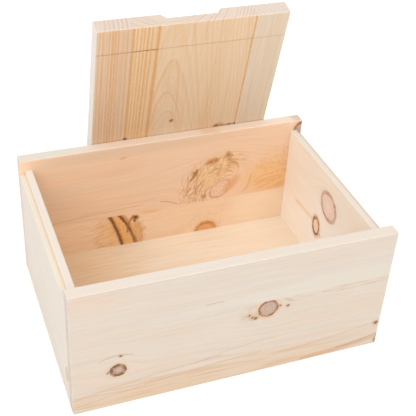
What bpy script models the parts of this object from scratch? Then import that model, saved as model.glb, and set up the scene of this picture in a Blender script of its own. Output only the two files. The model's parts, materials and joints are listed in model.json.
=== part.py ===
"""Wooden toy box: a pine box of plain boards with a loose, thick lid.

Frame: origin under the middle of the box, on the surface it stands on; +X along the
box's long side, +Y towards its back, +Z up. The front and back panels run the full
length and cover the ends of the two end panels, which are lower, so that the lid lies
between the long panels. The lid leans against the back panel, standing on its own end.
"""

import math

import bmesh
import bpy
from mathutils import Matrix, Vector

# Driving dimensions, in metres
BOX_LENGTH = 0.470
BOX_DEPTH = 0.337
BOX_HEIGHT = 0.2135
BOARD = 0.019
END_HEIGHT = 0.196
FIT_GAP = 0.0003
EDGE_EASE = 0.0012
EASE_SEGMENTS = 2
SMOOTH_ANGLE = math.radians(30)

# Shiplap step along the top of each end panel
LEDGE_WIDTH = 0.008
LEDGE_DROP = 0.007

# Heights and depths of the glued seams between boards
FRONT_SEAM = 0.136
BACK_SEAM = 0.081
FLOOR_SEAM = 0.050

# Lid
LID_WIDTH = 0.293
LID_LENGTH = 0.440
LID_THICKNESS = 0.025
LID_LEAN = math.radians(14.1)
LID_LEFT = -0.1193
LID_SEAM_LEFT = 0.054
LID_SEAM_RIGHT = 0.241

# Saw line across the lid's inner face
LINE_FROM_END = 0.0426
LINE_WIDTH = 0.0022
LINE_DEPTH = 0.0012

# Finger recess in the lid's outer face, open at its upper end
RECESS_CENTRE = 0.1445
RECESS_MOUTH = 0.095
RECESS_FLOOR = 0.075
RECESS_DEPTH = 0.009
RECESS_REACH = 0.026
RECESS_STEPS = 6
RECESS_SIDE_STEPS = 4
RECESS_OVERCUT = 0.003

# Blind dowels
DOWEL_RADIUS = 0.004
DOWEL_CHAMFER = 0.0008
DOWEL_SIDES = 16
DOWEL_IN_FACE = 0.011
DOWEL_IN_END = 0.023
DOWEL_END_SLACK = 0.0008
DRILL_OVERRUN = 0.0012
CORNER_DOWEL_HEIGHTS = (0.035, 0.105, 0.165)
FLOOR_DOWEL_PLACES = (-0.150, 0.0, 0.150)

HALF_LENGTH = BOX_LENGTH / 2
HALF_DEPTH = BOX_DEPTH / 2
INNER_LENGTH = HALF_LENGTH - BOARD
INNER_DEPTH = HALF_DEPTH - BOARD
FLOOR_LENGTH = INNER_LENGTH - FIT_GAP
END_DEPTH = INNER_DEPTH - FIT_GAP
SEAM_GAP = FIT_GAP / 2

PANEL_COLOUR = (0.82, 0.68, 0.52)
INSIDE_COLOUR = (0.80, 0.60, 0.40)
LID_COLOUR = (0.76, 0.56, 0.36)
DOWEL_COLOUR = (0.70, 0.55, 0.38)
PLANED_ROUGHNESS = 0.6
INSIDE_ROUGHNESS = 0.65
DOWEL_ROUGHNESS = 0.7


def clear_scene():
    for item in list(bpy.data.objects):
        bpy.data.objects.remove(item)


def wood(name, colour, roughness):
    """A plain wood material."""
    material = bpy.data.materials.new(name)
    material.use_nodes = True
    shader = material.node_tree.nodes["Principled BSDF"]
    shader.inputs["Base Color"].default_value = (*colour, 1.0)
    shader.inputs["Roughness"].default_value = roughness
    shader.inputs["Metallic"].default_value = 0.0
    return material


def place(name, mesh_builder, material, parent=None):
    """Turns a bmesh into a named object, under a parent if there is one."""
    bmesh.ops.recalc_face_normals(mesh_builder, faces=mesh_builder.faces)
    mesh = bpy.data.meshes.new(name)
    mesh_builder.to_mesh(mesh)
    mesh_builder.free()
    mesh.materials.append(material)
    thing = bpy.data.objects.new(name, mesh)
    bpy.context.scene.collection.objects.link(thing)
    thing.parent = parent
    return thing


def block(low, high):
    """A bmesh cuboid between two corners."""
    made = bmesh.new()
    size = Vector(high) - Vector(low)
    centre = (Vector(high) + Vector(low)) / 2
    matrix = Matrix.Translation(centre) @ Matrix.Diagonal((*size, 1.0))
    bmesh.ops.create_cube(made, size=1.0, matrix=matrix)
    return made


def prism(outline, axis, low, high):
    """A closed outline of points, pushed from low to high along one axis (0, 1 or 2)."""
    made = bmesh.new()
    corners = []
    for first, second in outline:
        point = [first, second]
        point.insert(axis, low)
        corners.append(made.verts.new(point))
    face = made.faces.new(corners)
    pushed = bmesh.ops.extrude_face_region(made, geom=[face])
    moved = [item for item in pushed["geom"] if isinstance(item, bmesh.types.BMVert)]
    travel = Vector((0, 0, 0))
    travel[axis] = high - low
    bmesh.ops.translate(made, verts=moved, vec=travel)
    return made


def ease_edges(made, wanted):
    """Rounds the edges whose middle point the test accepts."""
    edges = [edge for edge in made.edges if wanted(edge)]
    bmesh.ops.bevel(
        made, geom=edges, offset=EDGE_EASE, segments=EASE_SEGMENTS, profile=0.5, affect="EDGES"
    )


def edge_middle(edge):
    return (edge.verts[0].co + edge.verts[1].co) / 2


def long_board(name, low_y, high_y, low_z, high_z, material):
    """One full-length board of the front or back panel, eased where it is open to the hand."""
    made = block((-HALF_LENGTH, low_y, low_z), (HALF_LENGTH, high_y, high_z))
    tolerance = FIT_GAP

    def open_edge(edge):
        middle = edge_middle(edge)
        at_rim = abs(middle.z - BOX_HEIGHT) < tolerance
        at_foot = abs(middle.z) < tolerance
        at_end = abs(abs(middle.x) - HALF_LENGTH) < tolerance
        outside = abs(abs(middle.y) - HALF_DEPTH) < tolerance
        upright = abs(edge.verts[0].co.z - edge.verts[1].co.z) > BOARD
        return at_rim or (at_end and upright and outside) or (at_foot and (outside or at_end))

    ease_edges(made, open_edge)
    return place(name, made, material)


def end_panel(name, side, material):
    """One end panel: a single board whose top edge is stepped down on its outer side."""
    outer = side * HALF_LENGTH
    inner = side * INNER_LENGTH
    shoulder = side * (HALF_LENGTH - LEDGE_WIDTH)
    ledge = END_HEIGHT - LEDGE_DROP
    ease = EDGE_EASE
    outline = [
        (outer - side * ease, 0.0),
        (outer, ease),
        (outer, ledge - ease),
        (outer - side * ease, ledge),
        (shoulder, ledge),
        (shoulder, END_HEIGHT - ease),
        (shoulder - side * ease, END_HEIGHT),
        (inner + side * ease, END_HEIGHT),
        (inner, END_HEIGHT - ease),
        (inner, 0.0),
    ]
    made = prism(outline, 1, -END_DEPTH, END_DEPTH)
    return place(name, made, material)


def floor_board(name, low_y, high_y, material):
    """One board of the floor, flush with the panels' lower edges."""
    made = block((-FLOOR_LENGTH, low_y, 0.0), (FLOOR_LENGTH, high_y, BOARD))
    return place(name, made, material)


def lid_outline():
    """The lid's section along its length: eased ends and the saw line in the inner face."""
    ease = EDGE_EASE
    line = LID_LENGTH - LINE_FROM_END
    half_line = LINE_WIDTH / 2
    return [
        (ease, 0.0),
        (0.0, ease),
        (0.0, line - half_line),
        (LINE_DEPTH, line),
        (0.0, line + half_line),
        (0.0, LID_LENGTH - ease),
        (ease, LID_LENGTH),
        (LID_THICKNESS - ease, LID_LENGTH),
        (LID_THICKNESS, LID_LENGTH - ease),
        (LID_THICKNESS, ease),
        (LID_THICKNESS - ease, 0.0),
    ]


def lid_board(name, low_x, high_x, material, lid_frame):
    """One board of the lid, in the lid's own frame: x across, y through, z along it."""
    made = prism(lid_outline(), 0, low_x, high_x)
    tolerance = FIT_GAP

    def outer_edge(edge):
        middle = edge_middle(edge)
        at_side = abs(middle.x) < tolerance or abs(middle.x - LID_WIDTH) < tolerance
        along = abs(edge.verts[0].co.z - edge.verts[1].co.z) > BOARD
        return at_side and along

    ease_edges(made, outer_edge)
    return place(name, made, material, lid_frame)


def recess_section(share):
    """Half of the recess's outline at one station, from its floor's middle out to the mouth.

    share is the part of the full depth that is left there, 1 on the flat stretch."""
    depth = RECESS_DEPTH * share
    floor_half = RECESS_FLOOR / 2
    slope = (RECESS_MOUTH - RECESS_FLOOR) / 2
    points = [(0.0, depth)]
    for step in range(RECESS_SIDE_STEPS + 1):
        swing = step / RECESS_SIDE_STEPS
        along = floor_half + slope * swing
        rise = (1 - math.cos(math.pi * swing)) / 2
        points.append((along, depth * (1 - rise)))
    points.append((RECESS_MOUTH / 2, -RECESS_OVERCUT))
    return points


def recess_cutter(parent):
    """The finger recess's cutter: a flat-bottomed scoop with a coved inner end."""
    stations = [(LID_LENGTH + RECESS_OVERCUT, 1.0)]
    for step in range(RECESS_STEPS + 1):
        swing = math.pi / 2 * step / RECESS_STEPS
        reach = RECESS_REACH - RECESS_DEPTH * (1 - math.sin(swing))
        stations.append((LID_LENGTH - reach, math.cos(swing)))
    made = bmesh.new()
    rings = []
    for height, share in stations:
        half = recess_section(share)
        outline = [(-x, y) for x, y in reversed(half[1:])] + half
        ring = []
        for across, depth in outline:
            point = (RECESS_CENTRE + across, LID_THICKNESS - depth, height)
            ring.append(made.verts.new(point))
        rings.append(ring)
    for first, second in zip(rings, rings[1:]):
        count = len(first)
        for index in range(count):
            following = (index + 1) % count
            made.faces.new((first[index], first[following], second[following], second[index]))
    made.faces.new(rings[0])
    made.faces.new(list(reversed(rings[-1])))
    return hide_cutter(place("recess_cutter", made, bpy.data.materials["lid_pine"], parent))


def hide_cutter(cutter):
    cutter.hide_render = True
    cutter.display_type = "WIRE"
    return cutter


def cut(board, cutter):
    modifier = board.modifiers.new("cut_" + cutter.name, "BOOLEAN")
    modifier.operation = "DIFFERENCE"
    modifier.solver = "EXACT"
    modifier.object = cutter


def peg(made, radius, start, finish):
    """Adds a closed round peg along Y to a bmesh; start and finish are its end centres."""
    length = finish[1] - start[1]
    turn = Matrix.Rotation(-math.pi / 2, 4, "X")
    middle = (Vector(start) + Vector(finish)) / 2
    bmesh.ops.create_cone(
        made,
        cap_ends=True,
        segments=DOWEL_SIDES,
        radius1=radius,
        radius2=radius,
        depth=abs(length),
        matrix=Matrix.Translation(middle) @ turn,
    )


def drill(board, holes):
    """Drills blind holes along Y: each is (x, mouth y, inner end y, z)."""
    made = bmesh.new()
    for x, mouth, inner, z in holes:
        away = math.copysign(DRILL_OVERRUN, mouth - inner)
        ends = sorted((mouth + away, inner))
        peg(made, DOWEL_RADIUS + FIT_GAP, (x, ends[0], z), (x, ends[1], z))
    drill_bits = place(board.name + "_drill", made, board.data.materials[0])
    cut(board, hide_cutter(drill_bits))


def dowel(name, x, side, z, material):
    """A chamfered dowel across the joint between a long panel and what stands inside it."""
    face = side * INNER_DEPTH
    deep = face + side * DOWEL_IN_FACE
    shallow = face - side * DOWEL_IN_END
    low, high = sorted((deep, shallow))
    made = bmesh.new()
    peg(made, DOWEL_RADIUS, (0, low - face, 0), (0, high - face, 0))
    rims = [edge for edge in made.edges if len(edge.link_faces) == 2]
    rims = [edge for edge in rims if abs(edge.verts[0].co.y - edge.verts[1].co.y) < FIT_GAP]
    bmesh.ops.bevel(made, geom=rims, offset=DOWEL_CHAMFER, segments=1, affect="EDGES")
    thing = place(name, made, material)
    thing.location = (x, face, z)
    thing.data.shade_smooth()
    thing.data.set_sharp_from_angle(angle=SMOOTH_ANGLE)
    return thing


def face_hole(x, side, z):
    """The hole for a dowel in a long panel's inner face."""
    face = side * INNER_DEPTH
    return (x, face, face + side * (DOWEL_IN_FACE + DOWEL_END_SLACK), z)


def edge_hole(x, side, z):
    """The hole for a dowel in the end of an end panel or the edge of the floor."""
    face = side * END_DEPTH
    return (x, face, side * (INNER_DEPTH - DOWEL_IN_END - DOWEL_END_SLACK), z)


def build_long_panel(name, side, seam, material):
    """The two boards of the front (side -1) or back (side +1) panel, with their dowel holes."""
    low_y, high_y = sorted((side * INNER_DEPTH, side * HALF_DEPTH))
    lower = long_board(name + "_lower_board", low_y, high_y, 0.0, seam - SEAM_GAP, material)
    upper = long_board(
        name + "_upper_board", low_y, high_y, seam + SEAM_GAP, BOX_HEIGHT, material
    )
    corner_x = HALF_LENGTH - BOARD / 2
    holes = [
        face_hole(end * corner_x, side, z) for end in (-1, 1) for z in CORNER_DOWEL_HEIGHTS
    ]
    holes += [face_hole(x, side, BOARD / 2) for x in FLOOR_DOWEL_PLACES]
    drill(lower, [hole for hole in holes if hole[3] < seam])
    drill(upper, [hole for hole in holes if hole[3] > seam])


def build_ends(material):
    corner_x = HALF_LENGTH - BOARD / 2
    for name, end in (("left_end_panel", -1), ("right_end_panel", 1)):
        panel = end_panel(name, end, material)
        holes = [
            edge_hole(end * corner_x, side, z) for side in (-1, 1) for z in CORNER_DOWEL_HEIGHTS
        ]
        drill(panel, holes)


def build_floor(material):
    front = floor_board("floor_front_board", -END_DEPTH, -FLOOR_SEAM - SEAM_GAP, material)
    floor_board(
        "floor_middle_board", -FLOOR_SEAM + SEAM_GAP, FLOOR_SEAM - SEAM_GAP, material
    )
    rear = floor_board("floor_rear_board", FLOOR_SEAM + SEAM_GAP, END_DEPTH, material)
    drill(front, [edge_hole(x, -1, BOARD / 2) for x in FLOOR_DOWEL_PLACES])
    drill(rear, [edge_hole(x, 1, BOARD / 2) for x in FLOOR_DOWEL_PLACES])


def build_dowels(material):
    corner_x = HALF_LENGTH - BOARD / 2
    for side, side_name in ((-1, "front"), (1, "rear")):
        for end, end_name in ((-1, "left"), (1, "right")):
            for number, z in enumerate(CORNER_DOWEL_HEIGHTS, 1):
                name = f"corner_dowel_{side_name}_{end_name}_{number}"
                dowel(name, end * corner_x, side, z, material)
        for number, x in enumerate(FLOOR_DOWEL_PLACES, 1):
            dowel(f"floor_dowel_{side_name}_{number}", x, side, BOARD / 2, material)


def build_lid(material):
    """The lid's three boards, under an empty at its lower inner corner, leaning on the box."""
    foot_y = HALF_DEPTH + BOX_HEIGHT * math.tan(LID_LEAN) + FIT_GAP / math.cos(LID_LEAN)
    lid_frame = bpy.data.objects.new("lid_frame", None)
    lid_frame.location = (LID_LEFT, foot_y, 0.0)
    lid_frame.rotation_euler = (LID_LEAN, 0.0, 0.0)
    bpy.context.scene.collection.objects.link(lid_frame)
    lid_board("lid_left_board", 0.0, LID_SEAM_LEFT - SEAM_GAP, material, lid_frame)
    middle = lid_board(
        "lid_middle_board",
        LID_SEAM_LEFT + SEAM_GAP,
        LID_SEAM_RIGHT - SEAM_GAP,
        material,
        lid_frame,
    )
    lid_board("lid_right_board", LID_SEAM_RIGHT + SEAM_GAP, LID_WIDTH, material, lid_frame)
    cut(middle, recess_cutter(lid_frame))


def main():
    clear_scene()
    panel_pine = wood("panel_pine", PANEL_COLOUR, PLANED_ROUGHNESS)
    inside_pine = wood("floor_pine", INSIDE_COLOUR, INSIDE_ROUGHNESS)
    lid_pine = wood("lid_pine", LID_COLOUR, PLANED_ROUGHNESS)
    birch = wood("dowel_birch", DOWEL_COLOUR, DOWEL_ROUGHNESS)
    build_long_panel("front", -1, FRONT_SEAM, panel_pine)
    build_long_panel("back", 1, BACK_SEAM, panel_pine)
    build_ends(panel_pine)
    build_floor(inside_pine)
    build_dowels(birch)
    build_lid(lid_pine)


main()
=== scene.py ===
import json
import math
from collections import namedtuple

import bmesh
import bpy
from mathutils import Matrix, Vector, noise


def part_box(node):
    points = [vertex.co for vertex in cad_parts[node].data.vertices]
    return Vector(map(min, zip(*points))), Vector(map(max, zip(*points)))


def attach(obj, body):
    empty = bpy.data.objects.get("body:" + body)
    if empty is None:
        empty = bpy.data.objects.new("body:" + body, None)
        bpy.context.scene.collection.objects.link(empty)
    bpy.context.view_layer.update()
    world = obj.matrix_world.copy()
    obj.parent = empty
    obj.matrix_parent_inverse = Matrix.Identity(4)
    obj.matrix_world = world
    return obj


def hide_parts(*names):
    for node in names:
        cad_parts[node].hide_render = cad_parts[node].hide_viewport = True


# The looks of a pine toy box with a loose lid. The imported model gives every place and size; each board is
# rebuilt here with eased, slightly worn edges and closed glue lines, and gets its own procedural pine.

# ---- camera, light and stage
CAMERA_AIM = Vector((0.0142, 0.0, 0.1826))
CAMERA_DISTANCE = 1.3025
CAMERA_AZIMUTH = math.radians(-22.36)
CAMERA_ELEVATION = math.radians(36.16)
CAMERA_ROLL = math.radians(3.62)
CAMERA_LENS = 76.16
CAMERA_CLIP = 0.05

HORIZON_STRENGTH = 0.91
ZENITH_STRENGTH = 0.78
HORIZON_REACH = (0.10, 0.40)
LAMP_AIM = Vector((0.0, 0.0, 0.1))
KEY_PLACE = Vector((-4.4, -2.8, 6.2))
KEY_SIZE = 6.0
KEY_POWER = 276.0
TOP_PLACE = Vector((0.5, -0.7, 8.0))
TOP_SIZE = 5.0
TOP_POWER = 110.0
FILL_PLACE = Vector((1.0, -6.4, 5.4))
FILL_SIZE = 4.0
FILL_POWER = 150.0
FLOOR_HALF = 40.0
FLOOR_DROP = 0.0002
FLOOR_CELLS = 8
FLOOR_COLOURS = (0.93, 0.93, 0.93), (0.95, 0.95, 0.95)
FLOOR_CLOUD = 1.5
FLOOR_ROUGHNESS = 0.9

# ---- shapes, in metres
EASE = 0.0013
LID_EASE = 0.0018
CRISP = 0.00015
EASE_STEPS = 4
STATION_STEP = 0.012
WEAR_SHARE = 0.2
WEAR_WAVE = 0.035
SEAM_CLOSE = 0.00012
BUTT_CLOSE = 0.00025
HOLE_CLEARANCE = 0.0001
HOLE_SLACK = 0.0004
HOLE_SIDES = 32
LEDGE_WIDTH = 0.008
LEDGE_DROP = 0.007
SMOOTH_ANGLE = math.radians(34)

# The lid's length, saw line and finger recess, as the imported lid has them
LID_LENGTH = 0.440
LINE_FROM_END = 0.0426
LINE_HALF = 0.0007
LINE_DEPTH = 0.0006
RECESS_CENTRE = 0.1445
RECESS_MOUTH_HALF = 0.0475
RECESS_FLOOR_HALF = 0.0375
RECESS_DEPTH = 0.009
RECESS_REACH = 0.026
COVE_STEPS = 8

# ---- wood colours, with painted shade and painted light, linear
HALO = (0.66, 0.40, 0.20)
LATE_WOOD = (0.66, 0.36, 0.15)
END_TONE = (0.61, 0.53, 0.48)
END_RING = (0.60, 0.41, 0.28)
EDGE_TONE = (0.69, 0.62, 0.545)
RIGHT_EDGE_TONE = (0.60, 0.53, 0.46)
# Painted highlight: the lid's planed sides are painted pale and greyish, as when the key light washes them out.
LID_SIDE_HIGHLIGHT = (0.70, 0.68, 0.64)
LID_SIDE_HIGHLIGHT_SHARE = 0.8
LEDGE_PAINTED_LIGHT = (0.74, 0.62, 0.455)
LEDGE_SHADE = (0.40, 0.26, 0.15)
SAW_LINE_SHADE = (0.46, 0.26, 0.12)
STROKE_BROWN = (0.50, 0.29, 0.15)
SPECK_FADE = (0.54, 0.33, 0.18)
SWIRL_DARK = (0.44, 0.19, 0.06)
SWIRL_BROWN = (0.56, 0.27, 0.09)
SWIRL_EDGE = (0.54, 0.25, 0.08)
BARK_FADE = (0.50, 0.23, 0.08)
PITCH = (0.21, 0.10, 0.05)

# ---- wood surfaces
FACING = (0.45, 0.85)
BAND_SHARE = 0.22
END_SHARE = 0.75
END_RING_SHARE = 1.1
WEAR_TONE_SHARE = 0.35
CALM_SHARE = 0.3
PHASE_START = 200.0
BUMP_STRENGTH = 0.35
BUMP_DISTANCE = 0.0003
SPECULAR = 0.22
ROUGH_SIZE = 2.2
MM = 1000.0

# In millimetres and degrees. A knot has its half sizes, its bark ring's width and colour, its core's colour
# and its halo's strength; rings have their pith's place and drift, their spacing and their contrast.
Knot = namedtuple("Knot", "along across long wide turn ring bark core halo")
Rings = namedtuple("Rings", "across deep drift_across drift_deep spacing contrast")
Tone = namedtuple("Tone", "early late warm warm_share")


# ==== shader arithmetic
class Field:
    """A number that varies over a surface. Arithmetic on fields adds Math nodes to their tree."""

    def __init__(self, socket):
        self.socket = socket

    def __add__(self, other):
        return worked("ADD", self, other)

    def __sub__(self, other):
        return worked("SUBTRACT", self, other)

    def __rsub__(self, other):
        return worked("SUBTRACT", other, self)

    def __mul__(self, other):
        return worked("MULTIPLY", self, other)

    def __truediv__(self, other):
        return worked("DIVIDE", self, other)

    def __rtruediv__(self, other):
        return worked("DIVIDE", other, self)

    def __abs__(self):
        return worked("ABSOLUTE", self)


def plug(tree, socket, value):
    """Gives a node's input a field, another node's output, or a plain value."""
    if isinstance(value, Field):
        value = value.socket
    if isinstance(value, bpy.types.NodeSocket):
        tree.links.new(value, socket)
    elif isinstance(value, tuple) and len(value) == 3 and socket.type == "RGBA":
        socket.default_value = (*value, 1.0)
    else:
        socket.default_value = value


def worked(operation, *terms):
    """The result of a Math node on fields and numbers."""
    tree = next(term for term in terms if isinstance(term, Field)).socket.id_data
    node = tree.nodes.new("ShaderNodeMath")
    node.operation = operation
    for socket, term in zip(node.inputs, terms):
        plug(tree, socket, term)
    return Field(node.outputs[0])


def ramp(field, low, high, start=0.0, finish=1.0):
    """Goes smoothly from start to finish as the field goes from low to high."""
    tree = field.socket.id_data
    node = tree.nodes.new("ShaderNodeMapRange")
    node.interpolation_type = "SMOOTHSTEP"
    for index, value in enumerate((field, low, high, start, finish)):
        plug(tree, node.inputs[index], value)
    return Field(node.outputs[0])


def length_of(first, second):
    return worked("SQRT", first * first + second * second)


def texture(x, y, z, detail=2.0):
    """Noise at a point, as a field between 0 and 1."""
    tree = next(term for term in (x, y, z) if isinstance(term, Field)).socket.id_data
    point = tree.nodes.new("ShaderNodeCombineXYZ")
    for socket, value in zip(point.inputs, (x, y, z)):
        plug(tree, socket, value)
    node = tree.nodes.new("ShaderNodeTexNoise")
    node.inputs["Scale"].default_value = 1.0
    node.inputs["Detail"].default_value = detail
    tree.links.new(point.outputs[0], node.inputs["Vector"])
    return Field(node.outputs[0])


def chance(field):
    """A value between 0 and 1 that is the same wherever the field has the same value."""
    tree = field.socket.id_data
    node = tree.nodes.new("ShaderNodeTexWhiteNoise")
    node.noise_dimensions = "1D"
    tree.links.new(field.socket, node.inputs["W"])
    return Field(node.outputs["Value"])


def blended(tree, under, over, share):
    """One colour laid over another."""
    node = tree.nodes.new("ShaderNodeMix")
    node.data_type = "RGBA"
    plug(tree, node.inputs[0], share)
    plug(tree, node.inputs[6], under)
    plug(tree, node.inputs[7], over)
    return node.outputs[2]


# ==== pine
class Pine:
    """The wood of one board. Lengths are millimetres in the board's own frame: along the grain, across
    its shown face, and deep, from the shown face into the board."""

    def __init__(self, name, board, tone, rings, knots=(), lean=(0.0, 0.0), seed=0.0, bends=(), calm=None):
        """lean is how knots and marks move along and across with depth. bends are (along, across, size)
        places that the grain flows round besides the knots. The rings fade from the first to the second
        place of calm, across."""
        self.material = bpy.data.materials.new(name)
        self.material.use_nodes = True
        self.tree = self.material.node_tree
        self.shader = self.tree.nodes["Principled BSDF"]
        self.seed = seed
        self.place(board, lean)
        self.grain(tone, rings, knots, bends, calm)
        self.height = self.ring_tone * -0.25 + self.fine * 0.5
        self.gloss = self.fine * 0.12 + 0.56
        self.knots = knots

    def place(self, board, lean):
        """The board's coordinates, the same leaning and wandering a little for knots and marks, and which
        parts of the surface are end grain or planed edges."""
        coordinates = self.tree.nodes.new("ShaderNodeTexCoord")
        point, normal = coordinates.outputs["Object"], coordinates.outputs["Normal"]
        axes = [Vector(column) for column in board.to_3x3().col]
        self.along, self.across, self.deep = [
            self.towards(axis * MM, point) - axis.dot(board.translation) * MM for axis in axes
        ]
        self.end_grain = ramp(abs(self.towards(axes[0], normal)), *FACING)
        self.edge_side = ramp(abs(self.towards(axes[1], normal)), *FACING)
        seed = self.seed
        wander = texture(self.along / 7.0 + seed, self.across / 5.0, self.deep / 9.0) - 0.5
        stray = texture(self.along / 7.0, self.across / 5.0 + 31.0 + seed, self.deep / 9.0) - 0.5
        self.mark_along = self.along + self.deep * lean[0] + wander * 3.0
        self.mark_across = self.across + self.deep * lean[1] + stray * 3.0

    def towards(self, direction, output):
        """How far a point or a normal reaches in a direction."""
        node = self.tree.nodes.new("ShaderNodeVectorMath")
        node.operation = "DOT_PRODUCT"
        self.tree.links.new(output, node.inputs[0])
        node.inputs[1].default_value = direction
        return Field(node.outputs["Value"])

    def grain(self, tone, rings, knots, bends, calm):
        """Annual rings about a pith line that drifts along the board, pushed aside by the knots."""
        across = self.across
        round_knots = [(knot.along, knot.across, (knot.long + knot.wide) / 2 * 1.05) for knot in knots]
        for place, height, size in (*round_knots, *bends):
            run = (self.along - place) / 1.7
            rise = self.across - height
            pull = worked("MINIMUM", size * size / (run * run + rise * rise), 1.0)
            across = across - rise * pull
        seed = self.seed
        sway = texture(self.along / 170.0 + seed, across / 240.0, seed) - 0.5
        heave = texture(self.along / 130.0, seed, across / 260.0 + seed) - 0.5
        side = across - self.along * rings.drift_across - rings.across + sway * 14.0
        depth = self.deep - self.along * rings.drift_deep - rings.deep + heave * 9.0
        ripple = texture(self.along / 55.0 + seed, across / 9.0, self.deep / 9.0) - 0.5
        radius = length_of(side, depth) + ripple * 2.2
        phase = radius / rings.spacing + PHASE_START
        part = worked("FRACT", phase)
        vigour = chance(worked("FLOOR", phase)) * 0.75 + 0.25
        late = ramp(part, 0.25, 0.90) * ramp(part, 0.93, 1.0, 1.0, 0.0) * vigour
        self.ring_tone = late * rings.contrast
        if calm:
            self.ring_tone = self.ring_tone * ramp(self.across, *calm, 1.0, CALM_SHARE)
        self.flow = across
        fibre = texture(self.along / 95.0 + seed, across / 2.3, self.deep / 2.3, 3.0)
        self.fine = texture(self.along / 16.0, self.across / 0.45 + seed, self.deep / 0.45)
        broad = texture(self.along / 210.0 + seed, across / 26.0, self.deep / 60.0)
        bands = texture(self.along / 170.0, across / 8.5 + seed, self.deep / 20.0, 1.5)
        colour = blended(self.tree, tone.early, tone.late, self.ring_tone)
        warmth = ramp(broad, 0.38, 0.72) * tone.warm_share
        colour = blended(self.tree, colour, tone.warm, warmth)
        colour = blended(self.tree, colour, tone.late, ramp(bands, 0.50, 0.75) * BAND_SHARE)
        streaks = ramp(fibre, 0.25, 0.8, 1.03, 0.955) * ramp(self.fine, 0.2, 0.8, 1.015, 0.98)
        self.colour = self.shaded(colour, streaks)

    def shaded(self, colour, brightness):
        """A colour times a brightness."""
        node = self.tree.nodes.new("ShaderNodeVectorMath")
        node.operation = "SCALE"
        plug(self.tree, node.inputs[0], colour)
        plug(self.tree, node.inputs["Scale"], brightness)
        return node.outputs[0]

    def paint(self, colour, share):
        self.colour = blended(self.tree, self.colour, colour, share)

    def distance(self, along, across, long, wide, turn=0.0):
        """How far out of an ellipse a point is: 0 at its centre and 1 on its edge."""
        run = self.mark_along - along
        rise = self.mark_across - across
        if turn:
            cosine, sine = math.cos(math.radians(turn)), math.sin(math.radians(turn))
            run, rise = run * cosine + rise * sine, rise * cosine - run * sine
        return length_of(run / long, rise / wide)

    def zone(self, along, across, long, wide, colour, share, turn=0.0, firm=0.3):
        """A patch of another tone with a soft edge; firm goes from 0, all fade, to 1."""
        far = self.distance(along, across, long, wide, turn)
        self.paint(colour, ramp(far, firm, 1.0 + (1.0 - firm) * 0.4, share, 0.0))

    def speck(self, along, across, size, colour=PITCH, share=0.95):
        """A small dark mark, which doesn't go deep."""
        far = self.distance(along, across, size, size * 0.85)
        mask = ramp(far, 0.5, 1.15, share, 0.0) * ramp(self.deep, 2.0, 6.0, 1.0, 0.0)
        self.paint(colour, mask)

    def rough(self):
        """A small unevenness for the edges of marks, between -0.5 and 0.5."""
        return texture(self.along / ROUGH_SIZE, self.across / ROUGH_SIZE + 3.0, self.deep / 9.0 + self.seed) - 0.5

    def streak(self, start, finish, width, colour, share, bend=0.0, ragged=0.0, reach=6.0):
        """A narrow band from start to finish, bent by a height in its middle. It goes reach deep into the
        wood, and ragged makes its sides uneven."""
        run_out = Vector(finish) - Vector(start)
        middle = (Vector(finish) + Vector(start)) / 2
        turn = math.atan2(run_out.y, run_out.x)
        half = run_out.length / 2
        run = self.mark_along - middle.x
        rise = self.mark_across - middle.y
        ahead = run * math.cos(turn) + rise * math.sin(turn)
        aside = rise * math.cos(turn) - run * math.sin(turn)
        if bend:
            aside = aside - (1.0 - ahead * ahead / (half * half)) * bend
        past = worked("MAXIMUM", abs(ahead) - half, 0.0)
        far = length_of(past, aside) / (width / 2)
        if ragged:
            far = far + self.rough() * ragged
        mask = ramp(far, 0.3, 1.5, share, 0.0) * ramp(self.deep, reach, reach + 3.0, 1.0, 0.0)
        self.paint(colour, mask)

    def arch(self, along, across, curve, width, colour, share, reach, tilt):
        """A growth ring cut as a pointed arch, its top at a place; a larger curve makes it wider."""
        down = along - self.mark_along
        side = self.mark_across - across + down * tilt
        gap = abs(down - side * side / curve) / length_of(side * (2.0 / curve), 1.0)
        mask = ramp(gap / (width / 2), 0.3, 1.6, share, 0.0) * ramp(down, reach * 0.45, reach, 1.0, 0.0)
        self.paint(colour, mask * ramp(self.deep, 3.0, 6.0, 1.0, 0.0))

    def flecks(self, along, across, long, wide, angle, colour, share, fleck, turn=0.0):
        """Short dashes at an angle to the grain, inside a soft ellipse."""
        cosine, sine = math.cos(math.radians(angle)), math.sin(math.radians(angle))
        ahead = self.along * cosine + self.flow * sine
        aside = self.flow * cosine - self.along * sine
        dashes = texture(ahead / fleck[0], aside / fleck[1], self.seed, 1.0)
        inside = ramp(self.distance(along, across, long, wide, turn), 0.5, 1.2, 1.0, 0.0)
        self.paint(colour, ramp(dashes, 0.46, 0.68) * inside * share)

    def ripples(self, centre, shape, turn, count, arc, colour, share):
        """Curved lines round a centre. shape is the ellipse they follow, with count lines out to it,
        and arc is (direction, spread) in degrees, the part of the circle that they keep to."""
        far = self.distance(*centre, *shape, turn)
        wave = texture(self.along / 13.0, self.across / 13.0, self.seed, 3.0) * 2.6
        lines = worked("SINE", (far * count + wave) * math.tau) * 0.5 + 0.5
        away = math.radians(arc[0])
        run, rise = self.mark_along - centre[0], self.mark_across - centre[1]
        facing = (run * math.cos(away) + rise * math.sin(away)) / (length_of(run, rise) + 1.0)
        spread = math.cos(math.radians(arc[1]))
        inside = ramp(facing, spread, spread + 0.35) * ramp(far, 0.80, 1.15, 1.0, 0.0)
        broken = ramp(texture(self.along / 8.0, self.across / 8.0, self.seed + 2.0), 0.38, 0.62, 0.15, 1.0)
        self.paint(colour, ramp(lines, 0.35, 0.95) * inside * broken * share)

    def mark_knots(self):
        for knot in self.knots:
            self.knot(knot)

    def crease(self, across, deep, size, colour, share):
        """A line along the grain at one place of a board's section, which also shows on a planed edge."""
        gap = length_of(self.across - across, self.deep - deep)
        line = ramp(gap / size, 0.4, 1.2, 1.0, 0.0)
        self.paint(colour, line * share)
        self.edge_side = self.edge_side * (1.0 - line)

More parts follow.
